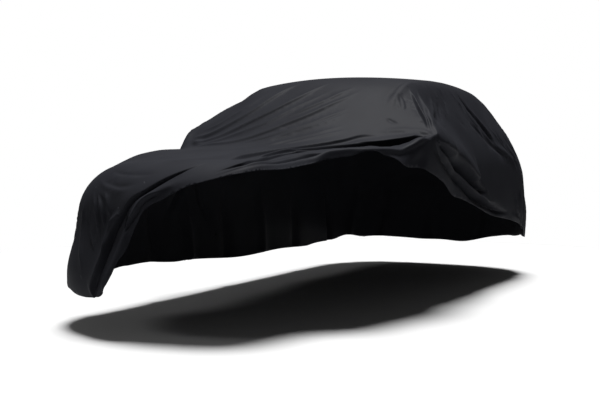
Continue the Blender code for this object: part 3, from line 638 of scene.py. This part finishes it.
def stretch(points, p, q, centre, tip):
    """Pulls the cloth out to a peak in straight lines."""
    side = np.sign(centre[0])
    dp = (p - centre[0]) * side
    dq = q - centre[1]
    away = np.hypot(dp, dq) + TINY
    bearing = np.degrees(np.arctan2(dq, dp)) % 360.0
    rows = PEAK_REACH + [(360, *PEAK_REACH[0][1:])]
    reach = np.interp(bearing, column(rows, 0), column(rows, 1 if side < 0 else 2))
    landing = smooth_form(centre[0] + side * dp / away * reach, centre[1] + dq / away * reach)
    part = np.clip(away / reach, 0.0, 1.0)[..., None]
    line = np.array(tip) + (landing - np.array(tip)) * part
    weight = 1.0 - ramp((part - PEAK_LAND) / (1.0 - PEAK_LAND))
    return points + (line - points) * weight


def form(p, q):
    """The cover's form with its two side peaks, before any fold."""
    points = smooth_form(p, q)
    for centre, tip in PEAKS:
        points = stretch(points, p, q, centre, tip)
    return points


def path_points(rows, closed, each):
    """A smooth path through control rows, `each` steps between two. A closed one ends at its start."""
    rows = np.asarray(rows, float)
    count = len(rows)
    out = []
    for i in range(count if closed else count - 1):
        if closed:
            a, b, c, d = (rows[(i + k) % count] for k in (-1, 0, 1, 2))
        else:
            a = rows[max(i - 1, 0)]
            b = rows[i]
            c = rows[i + 1]
            d = rows[min(i + 2, count - 1)]
        for k in range(each):
            t = k / each
            out.append(0.5 * (2 * b + (c - a) * t + (2 * a - 5 * b + 4 * c - d) * t * t
                              + (3 * b - a - 3 * c + d) * t ** 3))
    out.append(rows[0] if closed else rows[-1])
    return np.array(out)


def lengths(path):
    """Length of each step of a path, and of the path up to each of its points."""
    steps = np.hypot(*(path[1:] - path[:-1]).T)
    return steps, np.concatenate([[0.0], np.cumsum(steps)])


def near_path(p, q, path):
    """Distance to a path, left of it positive, and the part of its length."""
    best = np.full(p.shape, np.inf)
    part = np.zeros(p.shape)
    side = np.ones(p.shape)
    steps, run = lengths(path)
    for i, step in enumerate(steps):
        a = path[i]
        d = path[i + 1] - a
        t = np.clip(((p - a[0]) * d[0] + (q - a[1]) * d[1]) / (step ** 2 + TINY), 0.0, 1.0)
        gap = np.hypot(p - a[0] - t * d[0], q - a[1] - t * d[1])
        closer = gap < best
        best = np.where(closer, gap, best)
        part = np.where(closer, (run[i] + t * step) / run[-1], part)
        side = np.where(closer, np.sign(d[0] * (q - a[1]) - d[1] * (p - a[0])), side)
    return best * side, part


def beside_lines(p, q):
    """Of each line: which points lie near it, how far off it and how far along it, and its folds."""
    for name, rows in LINES.items():
        path = path_points(rows, False, LINE_STEPS)
        low = path.min(axis=0) - LINE_BOX
        high = path.max(axis=0) + LINE_BOX
        near = (p > low[0]) & (p < high[0]) & (q > low[1]) & (q < high[1])
        off, part = near_path(p[near], q[near], path)
        yield near, off, part, [fold[1:] for fold in FOLDS if fold[0] == name]


def folded(p, q):
    """How far the folds stand off the form. A fold thins out towards its ends."""
    rise = np.zeros(p.shape)
    for near, off, part, folds in beside_lines(p, q):
        for shift, left, right, lift, ease_in, ease_out in folds:
            fade = ramp(part / ease_in) * ramp((1.0 - part) / ease_out)
            gap = off - shift * fade
            width = np.where(gap > 0.0, left, right) * (END_WIDTH + (1.0 - END_WIDTH) * fade)
            rise[near] += lift * fade * np.exp(-(gap / width) ** 2)
    return rise


def surface(p, q):
    """The form with its folds, which stand square to it."""
    across = form(p + NORMAL_STEP, q) - form(p - NORMAL_STEP, q)
    along = form(p, q + NORMAL_STEP) - form(p, q - NORMAL_STEP)
    normal = np.cross(across, along)
    normal /= np.linalg.norm(normal, axis=-1, keepdims=True) + TINY
    return form(p, q) + normal * folded(p, q)[:, None]


def inside(p, q, loop):
    """Which points lie inside a closed path."""
    hit = np.zeros(p.shape, bool)
    for a, b in zip(loop[:-1], loop[1:]):
        if a[1] != b[1]:
            crosses = (a[1] > q) != (b[1] > q)
            hit ^= crosses & (p < (b[0] - a[0]) * (q - a[1]) / (b[1] - a[1]) + a[0])
    return hit


def middle_of(element):
    """Where a vertex lies, or the middle of an edge or a face."""
    if isinstance(element, bmesh.types.BMVert):
        return element.co
    if isinstance(element, bmesh.types.BMEdge):
        return (element.verts[0].co + element.verts[1].co) / 2.0
    return element.calc_center_median()


def flat_of(elements):
    """Cloth coordinates of the elements of the flat mesh."""
    flat = np.array([middle_of(element) for element in elements], float)
    return flat[:, 0], flat[:, 1]


def halve_cells(bm, loop, narrower, widths, side, hem_reach):
    """Halves the cells beside the folds narrower than that, and along the hem."""
    edges = list(bm.edges)
    p, q = flat_of(edges)
    from_hem, _ = near_path(p, q, loop)
    chosen = np.abs(from_hem) < hem_reach
    for near, off, _, folds in beside_lines(p, q):
        for shift, left, right, *_ in folds:
            if min(left, right) < narrower:
                chosen[near] |= np.abs(off - shift) < widths * side(left, right) + HALVING_MARGIN
    picked = [edge for edge, take in zip(edges, chosen) if take]
    bmesh.ops.subdivide_edges(bm, edges=picked, cuts=1, use_grid_fill=True)


def trim_to_hem(bm, loop):
    """Takes away what lies past the hem and brings the rim onto it."""
    faces = list(bm.faces)
    p, q = flat_of(faces)
    past = [face for face, keep in zip(faces, inside(p, q, loop)) if not keep]
    bmesh.ops.delete(bm, geom=past, context="FACES")
    rim = [vert for vert in bm.verts if vert.is_boundary]
    p, q = flat_of(rim)
    _, part = near_path(p, q, loop)
    _, run = lengths(loop)
    for vert, share in zip(rim, part):
        vert.co.x = np.interp(share * run[-1], run, loop[:, 0])
        vert.co.y = np.interp(share * run[-1], run, loop[:, 1])
    bmesh.ops.remove_doubles(bm, verts=rim, dist=RIM_MERGE)
    next_to_rim = [vert for vert in bm.verts if not vert.is_boundary
                   and any(edge.other_vert(vert).is_boundary for edge in vert.link_edges)]
    for _ in range(RIM_SMOOTHINGS):
        bmesh.ops.smooth_vert(bm, verts=next_to_rim, factor=0.5, use_axis_x=True, use_axis_y=True)


def flat_cloth():
    """The cloth laid out flat: a grid with its cells halved where it is creased, cut to the hem."""
    loop = path_points(HEM, True, HEM_STEPS)
    low = loop.min(axis=0) - CELL
    high = loop.max(axis=0) + CELL
    half = (high - low) / 2.0
    middle = (high + low) / 2.0
    scale = Matrix.Diagonal((half[0], half[1], 1.0, 1.0))
    place = Matrix.Translation((middle[0], middle[1], 0.0)) @ scale
    across = int(2.0 * half[0] / CELL)
    along = int(2.0 * half[1] / CELL)
    bm = bmesh.new()
    bmesh.ops.create_grid(bm, x_segments=across, y_segments=along, size=1.0, matrix=place)
    for halving in HALVINGS:
        halve_cells(bm, loop, *halving)
    trim_to_hem(bm, loop)
    return bm


def add_object(name, data):
    item = bpy.data.objects.new(name, data)
    bpy.context.scene.collection.objects.link(item)
    return item


def add_mesh(name, bm):
    """Puts a finished shape into the scene."""
    mesh = bpy.data.meshes.new(name)
    bm.to_mesh(mesh)
    bm.free()
    return add_object(name, mesh)


def build_cloth():
    """The sheet, draped on its form and given the thickness of the cloth."""
    bm = flat_cloth()
    layer = bm.loops.layers.uv.new("cloth")
    for face in bm.faces:
        for corner in face.loops:
            corner[layer].uv = corner.vert.co.xy
    p, q = flat_of(bm.verts)
    roof = form(np.array([HANG[0]]), np.array([HANG[1]]))[0]
    origin = np.array([HANG[0], HANG[1], roof[2] - THICKNESS])
    for vert, point in zip(bm.verts, surface(p, q) - origin):
        vert.co = point
    bmesh.ops.triangulate(bm, faces=bm.faces[:], quad_method="SHORT_EDGE")
    for face in bm.faces:
        face.smooth = True
    cloth = add_mesh("cover_cloth", bm)
    solid = cloth.modifiers.new("thickness", "SOLIDIFY")
    solid.thickness = THICKNESS
    solid.offset = -1.0
    solid.use_even_offset = False
    return cloth


def knit_material():
    """Black stretch knit: satin, and a little uneven in tone."""
    material = bpy.data.materials.new("black_stretch_knit")
    material.use_nodes = True
    nodes = material.node_tree.nodes
    links = material.node_tree.links
    shader = nodes["Principled BSDF"]
    shader.inputs["Roughness"].default_value = KNIT_ROUGHNESS
    shader.inputs["Specular IOR Level"].default_value = KNIT_SPECULAR
    where = nodes.new("ShaderNodeTexCoord")
    patch = nodes.new("ShaderNodeTexNoise")
    patch.inputs["Scale"].default_value = KNIT_PATCH_SCALE
    patch.inputs["Detail"].default_value = KNIT_PATCH_DETAIL
    links.new(where.outputs["Object"], patch.inputs["Vector"])
    tone = nodes.new("ShaderNodeValToRGB")
    for stop, (position, colour) in zip(tone.color_ramp.elements, KNIT_TONES):
        stop.position = position
        stop.color = colour
    links.new(patch.outputs["Fac"], tone.inputs["Fac"])
    links.new(tone.outputs["Color"], shader.inputs["Base Color"])
    return material


def plain_material(name, colour, roughness):
    material = bpy.data.materials.new(name)
    material.use_nodes = True
    shader = material.node_tree.nodes["Principled BSDF"]
    shader.inputs["Base Color"].default_value = colour
    shader.inputs["Roughness"].default_value = roughness
    return material


def build_floor():
    bm = bmesh.new()
    bmesh.ops.create_circle(bm, cap_ends=True, radius=FLOOR_RADIUS, segments=FLOOR_SIDES)
    bmesh.ops.translate(bm, vec=(*FLOOR_MIDDLE, FLOOR), verts=bm.verts)
    floor = add_mesh("floor", bm)
    floor.data.materials.append(plain_material("pale_floor", FLOOR_COLOUR, FLOOR_ROUGHNESS))


def facing(way):
    """The turn that points a lamp or the camera that way."""
    return Vector(way).to_track_quat("-Z", "Y").to_euler()


def white_surroundings():
    """White to the camera, and dim as a light."""
    world = bpy.data.worlds.new("studio")
    bpy.context.scene.world = world
    world.use_nodes = True
    nodes = world.node_tree.nodes
    links = world.node_tree.links
    glow = nodes["Background"]
    glow.inputs["Color"].default_value = WHITE
    glow.inputs["Strength"].default_value = GLOW
    seen = nodes.new("ShaderNodeBackground")
    seen.inputs["Color"].default_value = WHITE
    seen.inputs["Strength"].default_value = SEEN
    ray = nodes.new("ShaderNodeLightPath")
    mix = nodes.new("ShaderNodeMixShader")
    links.new(ray.outputs["Is Camera Ray"], mix.inputs["Fac"])
    links.new(glow.outputs["Background"], mix.inputs[1])
    links.new(seen.outputs["Background"], mix.inputs[2])
    links.new(mix.outputs["Shader"], nodes["World Output"].inputs["Surface"])


def light_studio():
    """A broad lamp from overhead, a little from the tail, and a weak one from the nose's far side."""
    white_surroundings()
    for name, strength, angle, way in LAMPS:
        light = bpy.data.lights.new(name, "SUN")
        light.energy = strength
        light.angle = math.radians(angle)
        lamp = add_object(name, light)
        lamp.rotation_euler = facing(way)
    bpy.context.scene.view_settings.view_transform = "Standard"


def place_camera():
    """Stands at the photograph's viewing angle, a little above waist height."""
    turn = math.radians(CAMERA_TURN)
    tip = math.radians(CAMERA_TIP)
    lens = bpy.data.cameras.new("camera")
    lens.sensor_width = CAMERA_SENSOR
    lens.lens = CAMERA_LENS
    lens.clip_end = CAMERA_END
    camera = add_object("camera", lens)
    camera.location = CAMERA_PLACE
    ahead = (-math.sin(turn) * math.cos(tip), math.cos(turn) * math.cos(tip), math.sin(tip))
    camera.rotation_euler = facing(ahead)
    bpy.context.scene.camera = camera


place_camera()
light_studio()
build_floor()

cloth = build_cloth()
cloth.data.materials.append(knit_material())
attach(cloth, "root")
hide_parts("cover")
